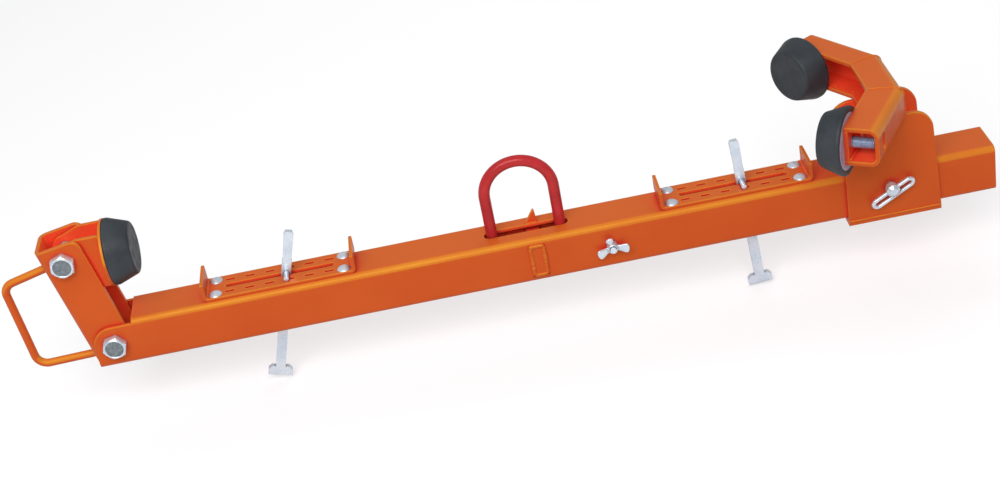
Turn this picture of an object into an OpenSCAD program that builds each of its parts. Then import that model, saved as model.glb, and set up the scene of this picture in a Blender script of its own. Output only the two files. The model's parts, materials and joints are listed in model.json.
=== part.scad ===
// Lifting beam with three-point frame clamp: a hinged pad arm at one end, a sliding
// C-shaped pad carrier at the other, and two lifting keys in slotted plates between.
// X runs along the beam towards the slider, Y to the back, Z up.
// The origin is where the crane hook seats: the inner crown of the lifting link.

/* [Beam tube] */
// Outer side of the square tube
tube_side = 60; // [50:1:80]
// Wall of the tube
tube_wall = 4; // [3:0.5:6]
// Outer corner radius of the tube
tube_corner = 7; // [5:0.5:10]
// Distance from the link to the open end on the slider side
beam_reach_right = 571; // [530:1:640]
// Distance from the link to the arm's pivot
pivot_reach = 514.8; // [480:0.1:640]
// Radius of the ears round the arm's pivot
ear_r = 25; // [21:0.5:29]
// Length of tube top cut away over the pivot, towards the link
mouth_len = 27; // [26:1:34]
// Length of tube floor cut away at the arm's end, for the arm's foot
foot_relief = 20; // [16:1:30]

/* [Lifting link] */
// Bar diameter of the link
link_bar = 14; // [11:0.5:16]
// Clear width inside the link
link_inner_w = 70; // [56:1:76]
// Height of the link's inner crown over the tube top
link_rise = 87; // [72:1:110]
// Length of the slot that the link passes through
link_slot_len = 104; // [101:0.5:110]
// Width of that slot
link_slot_w = 16; // [15.5:0.5:20]

/* [Link crossbar and centre pointer] */
// Width of the crossbar along the beam
crossbar_w = 16; // [10:1:20]
// Height of the crossbar
crossbar_h = 40; // [30:1:44]
// Distance of the crossbar from the middle of the slot
crossbar_off = 8; // [0:1:12]
// Distance that the crossbar stands out of each side wall
crossbar_proud = 1.5; // [0.5:0.5:4]
// Distance that the pointer's steep side leans in at its tip
pointer_lean = 2; // [0:0.5:4]
// Width of the pointer's tip
pointer_tip_w = 2; // [1:0.5:4]
// Height of the pointer's tip over the tube
pointer_h = 17; // [10:1:24]
// Length of the pointer's foot along the beam
pointer_w = 15; // [10:1:20]
// Thickness of the pointer plate
pointer_t = 4; // [3:0.5:6]

/* [Slotted plates] */
// Length of a slotted plate between its upturned ends
plate_len = 187; // [178:1:200]
// Width of a slotted plate
plate_w = 48; // [44:1:50]
// Thickness of a slotted plate
plate_t = 4; // [3:0.5:5]
// Height of the upturned ends over the tube
upturn_h = 24; // [14:1:36]
// Inner radius of the bend at each end
bend_r = 2; // [1.5:0.5:4]
// Distance from the link to the middle of the left plate
plate_reach_left = 304; // [280:1:330]
// Distance from the link to the middle of the right plate
plate_reach_right = 257; // [240:1:262]
// Length of the middle slot in a plate
key_slot_len = 134; // [126:1:136]
// Width of the middle slot in a plate
key_slot_w = 8; // [7.6:0.1:9]
// Length of each short detent slot
detent_len = 12; // [8:0.5:14]
// Width of each short detent slot
detent_w = 4; // [3:0.5:5]
// Spacing of the detent slots along a plate
detent_pitch = 24.5; // [20:0.5:25]
// Number of detent slots in each row
detent_count = 6; // [3:1:6]
// Distance of each detent row from the plate's middle
detent_off = 13.5; // [11:0.5:15]
// Distance from the middle of a plate to its bolts, across the plate
plate_bolt_y = 15.5; // [13:0.5:15.5]

/* [Plate bolts] */
// Shank diameter of a round-head bolt
small_bolt_d = 6; // [5:0.5:8]
// Head diameter of a round-head bolt
small_head_d = 16.5; // [13:0.5:17]
// Head height of a round-head bolt
small_head_h = 3.8; // [2.5:0.1:5]
// Width across flats of its nut
small_nut_af = 10; // [9:0.5:13]
// Height of its nut
small_nut_h = 5; // [4:0.5:6]

/* [Lifting keys] */
// Width of a key bar along the beam
key_w = 12; // [11:0.5:16]
// Thickness of a key bar across the beam
key_t = 7; // [6:0.1:7.2]
// Height of a key over its cross pin
key_top = 56; // [40:1:56]
// Depth of a key under its cross pin
key_drop = 150; // [130:1:200]
// Width of the hammer head at the foot of a key
key_head_w = 30; // [24:1:36]
// Height of the hammer head
key_head_h = 12; // [8:1:16]
// Bevel on the corners of a key
key_bevel = 4; // [2:0.5:5]
// Diameter of the cross pin that carries a key
key_pin_d = 6; // [5:0.5:7]
// Length of the cross pin
key_pin_len = 38; // [30:1:44]
// Spacing of the teeth on the edges of a key
tooth_pitch = 4; // [3:0.5:6]
// Depth of those teeth
tooth_depth = 0.8; // [0.4:0.1:1.2]
// Number of teeth on each edge of a key
tooth_count = 24; // [10:1:24]
// Distance of the left key from the middle of its plate
key_off_left = 9; // [-20:1:20]
// Distance of the right key from the middle of its plate
key_off_right = 10; // [-20:1:20]
// Lean of the left key's foot away from the link, in degrees
key_lean_left = 16; // [0:1:18]
// Lean of the right key's foot away from the link, in degrees
key_lean_right = 4; // [0:1:18]

/* [Wing nut] */
// Distance from the link to the through bolt with the wing nut
wing_reach = 98; // [80:1:120]
// Thread diameter of the through bolt
wing_bolt_d = 8; // [6:1:10]
// Tip-to-tip span of the wing nut
wing_span = 40; // [30:1:44]
// Thickness of a wing
wing_t = 4; // [3:0.5:5]
// Hub diameter of the wing nut at its face
wing_hub_d = 14; // [13:0.5:18]
// Taper of that hub, on diameter
wing_hub_taper = 2; // [0:0.5:3]
// Hub height of the wing nut
wing_hub_h = 10; // [7:0.5:12]
// Width of a wing
wing_w = 11; // [8:0.5:12]
// Reach of the third, smaller lobe
lobe_reach = 16; // [13:0.5:18]
// Width of the third lobe
lobe_w = 9; // [7:0.5:10]
// Width across flats of the through bolt's head
wing_bolt_af = 13; // [10:1:17]
// Height of the through bolt's head
wing_bolt_head_h = 5.5; // [4:0.5:8]

/* [Pad arm] */
// Depth of the arm channel's cheeks
arm_depth = 54.6; // [48:0.1:58]
// Wall of the arm channel
arm_wall = 5; // [3:0.5:6]
// Outer bend radius of the arm channel
arm_bend = 9; // [7:0.5:12]
// Distance from the pivot to the outer face of the arm's back
arm_back = 32.6; // [28:0.1:36]
// Length of the arm below the pivot
arm_foot = 22.5; // [16:0.5:23]
// Length of the arm above the pivot
arm_rise = 147; // [140:0.5:175]
// Radius of the cheeks' top corner
arm_corner = 12; // [6:1:18]
// Outward lean of the arm as drawn, in degrees
arm_lean = 10.2; // [8:0.1:12]
// Distance from the pivot to the swivel bolt, along the arm
swivel_rise = 124; // [116:0.5:126]
// Distance of the swivel bolt behind the arm's pivot line
swivel_set = 6.9; // [5:0.1:9]
// Shank diameter of the pivot and swivel bolts
big_bolt_d = 16; // [12:1:18]
// Width across flats of their heads
big_head_af = 27; // [22:1:30]
// Height of their heads
big_head_h = 10; // [8:0.5:11]
// Height of their nuts
big_nut_h = 13; // [10:0.5:16]
// Diameter of the washers under their nuts
washer_d = 30; // [28:1:34]
// Thickness of those washers
washer_t = 3; // [2:0.5:4]

/* [Handle] */
// Bar diameter of the handle
handle_bar = 10; // [8:0.5:12]
// Reach of the handle's upper corner from the arm's pivot line
handle_reach_top = 94.8; // [75:0.1:104]
// Reach of the handle's lower corner from the arm's pivot line
handle_reach_low = 107.4; // [80:0.1:114]
// Height of the handle's upper weld over the pivot, along the arm
handle_top = 115.2; // [100:0.1:122]
// Fall of the upper leg from that weld to its corner
handle_top_fall = 3.9; // [0:0.1:12]
// Height of the handle's lower weld over the pivot, along the arm
handle_low = -17.4; // [-17.5:0.1:4]
// Rise of the lower leg from that weld to its corner
handle_low_rise = 11.7; // [0:0.1:16]
// Bend radius of the handle on its centre line
handle_bend = 15; // [12:1:24]

/* [Rubber pads] */
// Diameter of a pad at its back
pad_d = 81.5; // [70:0.5:90]
// Diameter of a pad's pressing face
pad_face_d = 63; // [46:1:66]
// Depth of a pad
pad_depth = 30; // [24:1:40]
// Radius round the edge of the pressing face
pad_edge = 4; // [2:0.5:6]
// Cylindrical rim at the back of a pad
pad_rim = 5; // [4.5:0.5:8]
// Diameter of the steel disc let into the back of a pad
disc_d = 68; // [56:1:68]
// Thickness of the steel disc
disc_t = 4; // [3:0.5:4]
// Diameter of the pad's threaded stud
stud_d = 14; // [8:1:16]
// Length of the stud behind the disc
stud_len = 31; // [20:1:34]

/* [Swivel bracket] */
// Wall of the bracket's side plates
bracket_wall = 4; // [3:0.5:5]
// Radius of the side plates round the swivel bolt
bracket_eye_r = 16; // [12:0.5:17]
// Distance from the swivel bolt to the back of the round plate
bracket_reach = 48.7; // [45:0.1:60]
// Height of the side plates above the swivel bolt
bracket_up = 25; // [18:1:32]
// Depth of the side plates below the swivel bolt
bracket_down = 44; // [34:1:46]
// Length of the side plates' upper straight edge
bracket_top_run = 28; // [20:1:32]
// Length of the side plates' lower straight edge
bracket_low_run = 20; // [16:1:24]
// Distance of the pad's axis below the swivel bolt
pad_below = 9.4; // [4:0.1:11]
// Diameter of the round plate
round_plate_d = 82; // [72:1:92]
// Thickness of the round plate
round_plate_t = 3; // [2.5:0.5:8]

/* [Slider] */
// Distance from the link to the slider's left edge
slider_reach = 387; // [370:1:410]
// Length of the slider along the beam, at its foot
slider_len = 114; // [106:1:126]
// Thickness of the slider's cheeks
cheek_t = 5; // [4:0.5:8]
// Height of the carrier's seat on the cheeks, over the tube's middle
carrier_seat = 97; // [94:1:110]
// Height of the cheeks' shoulder behind the carrier, over that seat
shoulder_step = 5; // [1:0.5:8]
// Radius of the shoulder's outer corner
shoulder_r = 25; // [14:1:30]
// Radius of the cheeks' top corner under the pads
cheek_corner = 28; // [16:1:34]
// Setback of each cheek's outer edge at the top
cheek_taper = 5; // [0:1:12]
// Thickness of the slider's bottom plate
slider_floor_t = 6; // [4:0.5:8]
// Running gap between the slider and the tube
slider_gap = 0.5; // [0.3:0.1:0.9]

/* [Pad carrier] */
// Height of the carrier's channel
carrier_h = 48; // [44:1:60]
// Depth of the carrier's channel
carrier_depth = 41; // [38:1:46]
// Wall of the carrier's channel
carrier_wall = 5; // [3:0.5:6]
// Outer bend radius of the carrier's channel
carrier_bend = 12; // [7:0.5:14]
// Distance from the slider's left edge to the carrier's open side
carrier_set = 32; // [22:1:36]
// Length of the middle segment along its open side
carrier_mid_len = 71; // [66:1:76]
// Length of each leg along its open side
leg_len = 94; // [88:1:120]
// Sweep of each leg from the middle segment, in degrees
leg_sweep = 32; // [15:1:40]
// Distance from the mitre to the pad's axis, along the leg
pad_along = 76; // [70:1:80]
// Drop of the pad's axis under the middle of the channel
pad_drop = 3; // [0:0.5:6]
// Thickness of the pad plate between a leg's flanges
pad_plate_t = 5; // [4:0.5:8]
// Length of that plate along the leg
pad_plate_len = 46; // [40:1:60]
// Width of the slot through the back of the near leg
sight_w = 12; // [8:1:18]
// Height of that slot
sight_h = 24; // [16:1:30]

/* [Clamp screw] */
// Distance from the slider's left edge to the clamp screw
screw_set = 53; // [44:1:66]
// Height of the clamp screw over the tube's middle
screw_rise = 9; // [-6:1:16]
// Thread diameter of the clamp screw
screw_d = 12; // [8:1:16]
// Diameter of the screw's head
screw_head_d = 16; // [13:0.5:20]
// Length of the screw's head
screw_head_len = 15; // [12:0.5:20]
// Chamfer round both ends of the head
screw_head_chamfer = 3.5; // [0.5:0.5:4]
// Length of the neck between the cheek and the head
screw_neck = 2; // [1:0.5:8]
// Bar diameter of the loop handle
loop_bar = 5; // [3:0.5:5.5]
// Overall length of the loop handle
loop_len = 60.5; // [50:0.5:76]
// Slope of the loop handle as drawn, in degrees
loop_slope = 29; // [0:1:60]
// Tilt of the loop handle towards the slider as drawn, in degrees
loop_tilt = 18; // [-90:1:24]
// Distance that the loop handle hangs down along its own bar
loop_slip = 2; // [-6:1:6]

/* [Fits] */
// Running clearance between a pin and its bore, on radius
run_gap = 0.05; // [0.02:0.01:0.1]
// Clearance of a bolt in its hole, on radius
bolt_gap = 0.25; // [0.1:0.05:0.5]
// Clearance between the pad arm and the tube's ears, on each side
ear_gap = 1; // [0.5:0.1:2]
// Clearance between the swivel bracket and the pad arm, on each side
bracket_gap = 0.5; // [0.3:0.1:1]
// Clearance between the loop handle and the corners of the screw's head
loop_clear = 0.6; // [0.3:0.1:2]
// Gap left between a curved part and its seat
seat_gap = 0.3; // [0.2:0.05:0.4]

/* [Hidden] */
$fn = 48;

paint = "#cb5a2a";
link_red = "#b03038";
zinc = "#c8ccd2";
rubber = "#2e3438";

// Through-cut allowance, so that a cutter passes both faces of a wall
past = 1;
// A bend in round bar is slightly fuller than the bar, and laps its straight ends
bend_swell = 0.1;
bend_lap = 0.5;
// Thread that stands past a nut
bolt_tail = 3;
// Chamfer round a hexagon head: its height and diameters as shares of the width across flats
head_chamfer_h = 0.07;
head_chamfer_foot = 1.13;
head_chamfer_face = 0.93;

tube_half = tube_side / 2;
tube_bore = tube_half - tube_wall;

// The link is an oval. Its lower arc hangs on the crossbar's far lower edge.
link_inner_r = link_inner_w / 2;
link_line_r = link_inner_r + link_bar / 2;
crossbar_far = crossbar_off + crossbar_w / 2;
hook_z = tube_half + link_rise;
link_top_z = hook_z - link_inner_r;
link_low_z = sqrt(pow(link_inner_r - seat_gap, 2) - pow(crossbar_far, 2)) - crossbar_h / 2;

pivot_x = -pivot_reach;
beam_left_x = pivot_x - ear_r;
mouth_x = pivot_x + mouth_len;

plate_left_x = -plate_reach_left;
plate_right_x = plate_reach_right;
plate_top_z = tube_half + plate_t;
plate_hole_d = small_bolt_d + 2 * bolt_gap;
// The bolt heads sit on the flat, just short of the bends
plate_bolt_x = plate_len / 2 - bend_r - plate_t - small_head_d / 2 - seat_gap;
key_pin_z = plate_top_z + key_pin_d / 2 + seat_gap;
key_left_x = plate_left_x + key_off_left;
key_right_x = plate_right_x + key_off_right;
// Slots in the tube: a little larger than the plate's, and longer at the bottom for the lean
tube_slot_ease_w = 2;
tube_slot_ease_len = 4;
tube_low_slot_ease = 56;
tube_key_slot_w = key_slot_w + tube_slot_ease_w;
tube_top_slot_len = key_slot_len + tube_slot_ease_len;
tube_low_slot_len = key_slot_len + tube_low_slot_ease;

// The arm stands between the tube's ears, and the swivel bracket between the arm's cheeks
arm_w = 2 * (tube_bore - ear_gap);
bracket_w = arm_w - 2 * (arm_wall + bracket_gap);
arm_half = arm_w / 2;
big_hole_d = big_bolt_d + 2 * bolt_gap;
big_bore_d = big_bolt_d + 2 * run_gap;

bracket_half = bracket_w / 2;
// The bracket's slanted edges aim just inside the eye, and so cross its round at a clear angle
eye_dip = 0.5;

slider_x = slider_reach;
cheek_in = tube_half + slider_gap;
cheek_out = cheek_in + cheek_t;
floor_top_z = -tube_half - slider_gap;
cheek_rise = carrier_seat + shoulder_step;

carrier_x = slider_x + carrier_set;
carrier_z = carrier_seat + carrier_h / 2;
pad_plate_h = carrier_h - 2 * carrier_wall;
mitre = tan(leg_sweep / 2);

screw_x = slider_x + screw_set;
// The loop's upper bar runs through the middle of the screw's head
loop_y = -(cheek_out + screw_neck + screw_head_len / 2);
// Its lower bar swings round the head, clear of the head's corners
head_reach = max(
    norm([screw_head_d / 2, screw_head_len / 2 - screw_head_chamfer]),
    norm([screw_head_d / 2 - screw_head_chamfer, screw_head_len / 2])
);
loop_line_r = (head_reach + loop_clear + loop_bar / 2) / 2;
loop_straight = loop_len - 2 * loop_line_r - loop_bar;

// Frames of reference

// Everything is drawn with the tube's middle as zero, then let down under the hook
module hung() {
    translate([0, 0, -hook_z]) children();
}

// Draws in the X-Z plane, with the drawing's thickness along Y and centred
module upright(t) {
    rotate([90, 0, 0]) linear_extrude(t, center = true) children();
}

// Axis along Y, from y0 to y1
module across(x, z, y0, y1, d) {
    translate([x, y1, z]) rotate([90, 0, 0]) cylinder(h = y1 - y0, d = d);
}

// The arm's own frame: pivot at zero, up along the arm
module on_arm() {
    translate([pivot_x, 0, 0]) rotate([0, -arm_lean, 0]) children();
}

// The swivel bracket's frame: swivel bolt at zero, level with the beam
module on_swivel() {
    on_arm() translate([-swivel_set, 0, swivel_rise]) rotate([0, arm_lean, 0]) children();
}

// One leg of the carrier: mitre corner at zero, Y along the leg, X outwards
module on_leg(side) {
    mirror([0, side < 0 ? 1 : 0, 0])
        translate([carrier_x, carrier_mid_len / 2, carrier_z])
            rotate([0, 0, leg_sweep])
                children();
}

// A pad's frame: back of the pad at zero, pressing towards +Z
module on_left_pad() {
    on_swivel() translate([bracket_reach + round_plate_t, 0, -pad_below])
        rotate([0, 90, 0]) children();
}

module on_leg_pad(side) {
    on_leg(side) translate([0, pad_along, -pad_drop]) rotate([0, -90, 0]) children();
}

// A key's frame: cross pin at zero
module on_key(x, lean) {
    translate([x, 0, key_pin_z]) rotate([0, lean, 0]) children();
}

// Shared shapes

// Square with rounded corners, centred
module round_square(w, h, r) {
    square([w - 2 * r, h], center = true);
    square([w, h - 2 * r], center = true);
    for (sx = [-1, 1], sy = [-1, 1])
        translate([sx * (w / 2 - r), sy * (h / 2 - r)]) circle(r);
}

// Slot with round ends along X, centred
module slot_2d(len, w) {
    square([len - w, w], center = true);
    for (s = [-1, 1]) translate([s * (len - w) / 2, 0]) circle(d = w);
}

// Channel section: open at x = 0, back at x = depth, height along Y
module channel_2d(depth, h, wall, bend) {
    difference() {
        union() {
            translate([0, -h / 2]) square([depth - bend, h]);
            translate([0, -h / 2 + bend]) square([depth, h - 2 * bend]);
            for (s = [-1, 1]) translate([depth - bend, s * (h / 2 - bend)]) circle(bend);
        }
        translate([-past, -h / 2 + wall]) square([depth - bend + past, h - 2 * wall]);
        translate([0, -h / 2 + bend]) square([depth - wall, h - 2 * bend]);
        for (s = [-1, 1])
            translate([depth - bend, s * (h / 2 - bend)]) circle(bend - wall);
    }
}

// Where the line from point p touches the circle of radius r round zero
function touch(p, r, s) =
    let (a = atan2(p[1], p[0]), b = acos(r / norm(p)))
    r * [cos(a + s * b), sin(a + s * b)];

// Straight round bar in the X-Z plane between two points
module bar_between(a, b, d) {
    run = b - a;
    translate([a[0], 0, a[1]])
        rotate([0, atan2(run[0], run[1]), 0])
            cylinder(h = norm(run), d = d);
}

// Round bend in the X-Z plane: centre c, line radius r, from angle a0 through sweep
module bar_bend(c, r, a0, sweep, d) {
    translate([c[0], 0, c[1]])
        rotate([90, 0, 0])
            rotate([0, 0, a0])
                rotate_extrude(angle = sweep)
                    translate([r, 0]) circle(d = d);
}

// Closed oval of round bar in the X-Z plane, arcs at z = low and z = top
module oval_bar(line_r, low, top, d, swell = 0, lap = 0) {
    for (s = [-1, 1]) bar_between([s * line_r, low - lap], [s * line_r, top + lap], d);
    bar_bend([0, top], line_r, 0, 180, d + swell);
    bar_bend([0, low], line_r, 180, 180, d + swell);
}

module hex_prism(af, h) {
    cylinder(h = h, d = af / cos(30), $fn = 6);
}

// Hexagon head chamfered on its outer side, axis up
module hex_head(af, h) {
    intersection() {
        rotate([0, 0, 30]) hex_prism(af, h);
        union() {
            cylinder(h = h - af * head_chamfer_h, d = af / cos(30) + past);
            translate([0, 0, h - af * head_chamfer_h])
                cylinder(h = af * head_chamfer_h, d1 = af * head_chamfer_foot, d2 = af * head_chamfer_face);
        }
    }
}

// Beam

module tube_profile() {
    difference() {
        round_square(tube_side, tube_side, tube_corner);
        round_square(2 * tube_bore, 2 * tube_bore, tube_corner - tube_wall);
    }
}

module key_slots(x) {
    translate([x, 0, 0]) linear_extrude(tube_half + past)
        slot_2d(tube_top_slot_len, tube_key_slot_w);
    translate([x, 0, -tube_half - past]) linear_extrude(tube_half)
        slot_2d(tube_low_slot_len, tube_key_slot_w);
    for (sx = [-1, 1], sy = [-1, 1])
        translate([x + sx * plate_bolt_x, sy * plate_bolt_y, 0])
            cylinder(h = tube_half + past, d = plate_hole_d);
}

// Clears the tube's top and rounds its side walls into ears round the pivot
module mouth_cut() {
    over = ear_r + past;
    translate([beam_left_x - past, -tube_half - past, ear_r])
        cube([mouth_x - beam_left_x + past, tube_side + 2 * past, over]);
    difference() {
        translate([pivot_x - over, -tube_half - past, 0])
            cube([over, tube_side + 2 * past, over]);
        across(pivot_x, 0, -tube_side, tube_side, 2 * ear_r);
    }
}

// Clears the tube's floor between the side walls, under the arm's foot
module foot_cut() {
    corner = tube_corner - tube_wall;
    translate([beam_left_x - past, -tube_bore, -tube_half - past])
        cube([foot_relief + past, 2 * tube_bore, tube_wall + corner + past]);
}

module beam_tube() {
    color(paint) hung() difference() {
        translate([beam_left_x, 0, 0]) rotate([90, 0, 90])
            linear_extrude(beam_reach_right - beam_left_x) tube_profile();
        mouth_cut();
        foot_cut();
        across(pivot_x, 0, -tube_side, tube_side, big_hole_d);
        across(wing_reach, 0, -tube_side, tube_side, wing_bolt_d + 2 * bolt_gap);
        linear_extrude(tube_side + 2 * past, center = true)
            slot_2d(link_slot_len, link_slot_w);
        key_slots(plate_left_x);
        key_slots(plate_right_x);
        translate([crossbar_off, 0, 0])
            cube([crossbar_w, tube_side + 2 * past, crossbar_h], center = true);
    }
}

module link_crossbar() {
    color(paint) hung() translate([crossbar_off, 0, 0])
        cube([crossbar_w, tube_side + 2 * crossbar_proud, crossbar_h], center = true);
}

// Upright pointer plate behind the slot, its steep side towards the slider
module centre_pointer() {
    color(paint) hung()
        translate([crossbar_off, link_slot_w / 2 + pointer_t, tube_half])
            upright(pointer_t)
                polygon([
                    [-pointer_w / 2, 0],
                    [pointer_w / 2, 0],
                    [pointer_w / 2 - pointer_lean, pointer_h],
                    [pointer_w / 2 - pointer_lean - pointer_tip_w, pointer_h]
                ]);
}

module lifting_link() {
    color(link_red) hung() oval_bar(link_line_r, link_low_z, link_top_z, link_bar);
}

// Slotted plates

// Plate seen from the side: flat, bent up at both ends
module plate_profile() {
    bend_out = bend_r + plate_t;
    translate([-plate_len / 2 + bend_out, 0]) square([plate_len - 2 * bend_out, plate_t]);
    for (s = [0, 1]) mirror([s, 0]) {
        translate([plate_len / 2 - bend_out, bend_out]) intersection() {
            difference() {
                circle(bend_out);
                circle(bend_r);
            }
            translate([0, -bend_out]) square(bend_out);
        }
        translate([plate_len / 2 - plate_t, bend_out]) square([plate_t, upturn_h - bend_out]);
    }
}

module plate_holes() {
    slot_2d(key_slot_len, key_slot_w);
    for (i = [0 : detent_count - 1], s = [-1, 1])
        translate([(i - (detent_count - 1) / 2) * detent_pitch, s * detent_off])
            slot_2d(detent_len, detent_w);
    for (sx = [-1, 1], sy = [-1, 1])
        translate([sx * plate_bolt_x, sy * plate_bolt_y]) circle(d = plate_hole_d);
}

module slotted_plate(x) {
    color(paint) hung() translate([x, 0, tube_half]) difference() {
        upright(plate_w) plate_profile();
        translate([0, 0, -past]) linear_extrude(plate_t + 2 * past) plate_holes();
    }
}

module plate_left() {
    slotted_plate(plate_left_x);
}

module plate_right() {
    slotted_plate(plate_right_x);
}

// The eight bolt places on the two plates
module at_plate_bolts() {
    for (x = [plate_left_x, plate_right_x], sx = [-1, 1], sy = [-1, 1])
        translate([x + sx * plate_bolt_x, sy * plate_bolt_y, 0]) children();
}

module round_head_bolt() {
    dome_r = (pow(small_head_d / 2, 2) + pow(small_head_h, 2)) / (2 * small_head_h);
    shank_end = tube_bore - small_nut_h - bolt_tail;
    translate([0, 0, shank_end]) cylinder(h = plate_top_z - shank_end, d = small_bolt_d);
    intersection() {
        translate([0, 0, plate_top_z + small_head_h - dome_r]) sphere(dome_r);
        translate([0, 0, plate_top_z]) cylinder(h = small_head_h + past, d = small_head_d);
    }
}

module plate_bolts() {
    color(zinc) hung() at_plate_bolts() round_head_bolt();
}

module plate_nuts() {
    color(zinc) hung() at_plate_bolts()
        translate([0, 0, tube_bore - small_nut_h]) difference() {
            hex_prism(small_nut_af, small_nut_h);
            translate([0, 0, -past])
                cylinder(h = small_nut_h + 2 * past, d = small_bolt_d + 2 * run_gap);
        }
}

// Lifting keys

// One toothed edge of a key, from its foot up to the top of the teeth
teeth_over_pin = 5;
function tooth_edge(side) = [
    for (i = [0 : tooth_count - 1], k = [0, 1])
        [
            side * (key_w / 2 - k * tooth_depth),
            (teeth_over_pin - tooth_count + i + k / 2) * tooth_pitch
        ]
];

function backwards(list) = [for (i = [len(list) - 1 : -1 : 0]) list[i]];

module key_outline() {
    neck = -key_drop + key_head_h;
    polygon(concat(
        [
            [-key_head_w / 2, -key_drop],
            [key_head_w / 2, -key_drop],
            [key_head_w / 2, neck - key_bevel],
            [key_head_w / 2 - key_bevel, neck],
            [key_w / 2, neck]
        ],
        tooth_edge(1),
        [
            [key_w / 2, key_top - key_bevel],
            [key_w / 2 - key_bevel / 2, key_top],
            [-key_w / 2 + key_bevel / 2, key_top],
            [-key_w / 2, key_top - key_bevel]
        ],
        backwards(tooth_edge(-1)),
        [
            [-key_w / 2, neck],
            [-key_head_w / 2 + key_bevel, neck],
            [-key_head_w / 2, neck - key_bevel]
        ]
    ));
}

module lifting_key(x, lean) {
    color(zinc) hung() on_key(x, lean) difference() {
        upright(key_t) key_outline();
        across(0, 0, -key_t, key_t, key_pin_d + 2 * run_gap);
    }
}

module key_pin(x) {
    color(zinc) hung() across(x, key_pin_z, -key_pin_len / 2, key_pin_len / 2, key_pin_d);
}

module key_left() {
    lifting_key(key_left_x, key_lean_left);
}

module key_right() {
    lifting_key(key_right_x, -key_lean_right);
}

module key_pin_left() {
    key_pin(key_left_x);
}

module key_pin_right() {
    key_pin(key_right_x);
}

// Through bolt and wing nut

module wing_bolt() {
    color(zinc) hung() {
        across(wing_reach, 0, -tube_half - wing_hub_h - bolt_tail, tube_half, wing_bolt_d);
        translate([wing_reach, tube_half, 0]) rotate([-90, 0, 0])
            hex_head(wing_bolt_af, wing_bolt_head_h);
    }
}

// One wing, drawn along +X and rising off the hub towards the front
wing_root_h = 1;
wing_rise = 20;
wing_turns = [-6, 196];
lobe_turn = 104;
module wing(len, w) {
    root_w = w * 2 / 3;
    translate([0, 0, wing_root_h]) rotate([0, -wing_rise, 0]) linear_extrude(wing_t) {
        translate([0, -root_w / 2]) square([len - w / 2, root_w]);
        translate([len - w / 2, 0]) circle(d = w);
    }
}

module wing_nut() {
    color(zinc) hung() translate([wing_reach, -tube_half, 0]) rotate([90, 0, 0]) difference() {
        union() {
            cylinder(h = wing_hub_h, d1 = wing_hub_d, d2 = wing_hub_d - wing_hub_taper);
            for (a = wing_turns) rotate([0, 0, a]) wing(wing_span / 2, wing_w);
            rotate([0, 0, lobe_turn]) wing(lobe_reach, lobe_w);
        }
        translate([0, 0, -past])
            cylinder(h = wing_hub_h + 2 * past, d = wing_bolt_d + 2 * run_gap);
    }
}

// Pad arm

// Cheek seen from the front, in the arm's frame
module arm_side_2d() {
    front = arm_depth - arm_back;
    translate([-arm_back, -arm_foot]) square([arm_depth, arm_foot + arm_rise - arm_corner]);
    translate([-arm_back, 0]) square([arm_depth - arm_corner, arm_rise]);
    translate([front - arm_corner, arm_rise - arm_corner]) circle(arm_corner);
}

module arm_channel() {
    color(paint) hung() on_arm() difference() {
        intersection() {
            translate([arm_depth - arm_back, 0, -arm_foot])
                linear_extrude(arm_foot + arm_rise)
                    mirror([1, 0]) channel_2d(arm_depth, arm_w, arm_wall, arm_bend);
            upright(arm_w) arm_side_2d();
        }
        across(0, 0, -arm_w, arm_w, big_bore_d);
        across(-swivel_set, swivel_rise, -arm_w, arm_w, big_hole_d);
    }
}

// Handle bent from round bar. Its ends are cut flush with the arm's back, to which they are welded.
module arm_handle() {
    top_weld = [-arm_back, handle_top];
    top_corner = [-handle_reach_top, handle_top - handle_top_fall];
    low_corner = [-handle_reach_low, handle_low + handle_low_rise];
    low_weld = [-arm_back, handle_low];
    line = [
        beyond(top_corner, top_weld, handle_bar),
        top_corner,
        low_corner,
        beyond(low_corner, low_weld, handle_bar)
    ];
    span = 2 * handle_reach_low;
    color(paint) hung() on_arm() intersection() {
        bent_bar(line, handle_bend, handle_bar);
        translate([-arm_back - span, -handle_bar, handle_low - handle_reach_low])
            cube([span, 2 * handle_bar, handle_top + span]);
    }
}

// Point on the line from a through b, a length d past b
function beyond(a, b, d) = b + (b - a) * d / norm(b - a);

// Round bar along a chain of points in the X-Z plane, each corner bent to radius r
module bent_bar(p, r, d) {
    last = len(p) - 1;
    unit = [for (i = [0 : last - 1]) (p[i + 1] - p[i]) / norm(p[i + 1] - p[i])];
    turn = [for (i = [1 : last - 1]) turn_angle(unit[i - 1], unit[i])];
    trim = [for (t = turn) r * tan(abs(t) / 2)];
    for (i = [0 : last - 1]) {
        from = i == 0 ? p[0] : p[i] + unit[i] * (trim[i - 1] - bend_lap);
        to = i == last - 1 ? p[last] : p[i + 1] - unit[i] * (trim[i] - bend_lap);
        bar_between(from, to, d);
    }
    for (i = [1 : last - 1]) {
        side = sign(turn[i - 1]);
        normal = side * [-unit[i - 1][1], unit[i - 1][0]];
        centre = p[i] - unit[i - 1] * trim[i - 1] + normal * r;
        bar_bend(centre, r, atan2(-normal[1], -normal[0]), turn[i - 1], d + bend_swell);
    }
}

function turn_angle(a, b) = atan2(a[0] * b[1] - a[1] * b[0], a[0] * b[0] + a[1] * b[1]);

// Hexagon bolt along Y with its head at the front face of a part half wide
module cross_bolt(half) {
    across(0, 0, -half, half + washer_t + big_nut_h + bolt_tail, big_bolt_d);
    translate([0, -half, 0]) rotate([90, 0, 0]) hex_head(big_head_af, big_head_h);
}

module cross_washer(half) {
    translate([0, half + washer_t, 0]) rotate([90, 0, 0]) difference() {
        cylinder(h = washer_t, d = washer_d);
        translate([0, 0, -past]) cylinder(h = washer_t + 2 * past, d = big_hole_d);
    }
}

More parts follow.
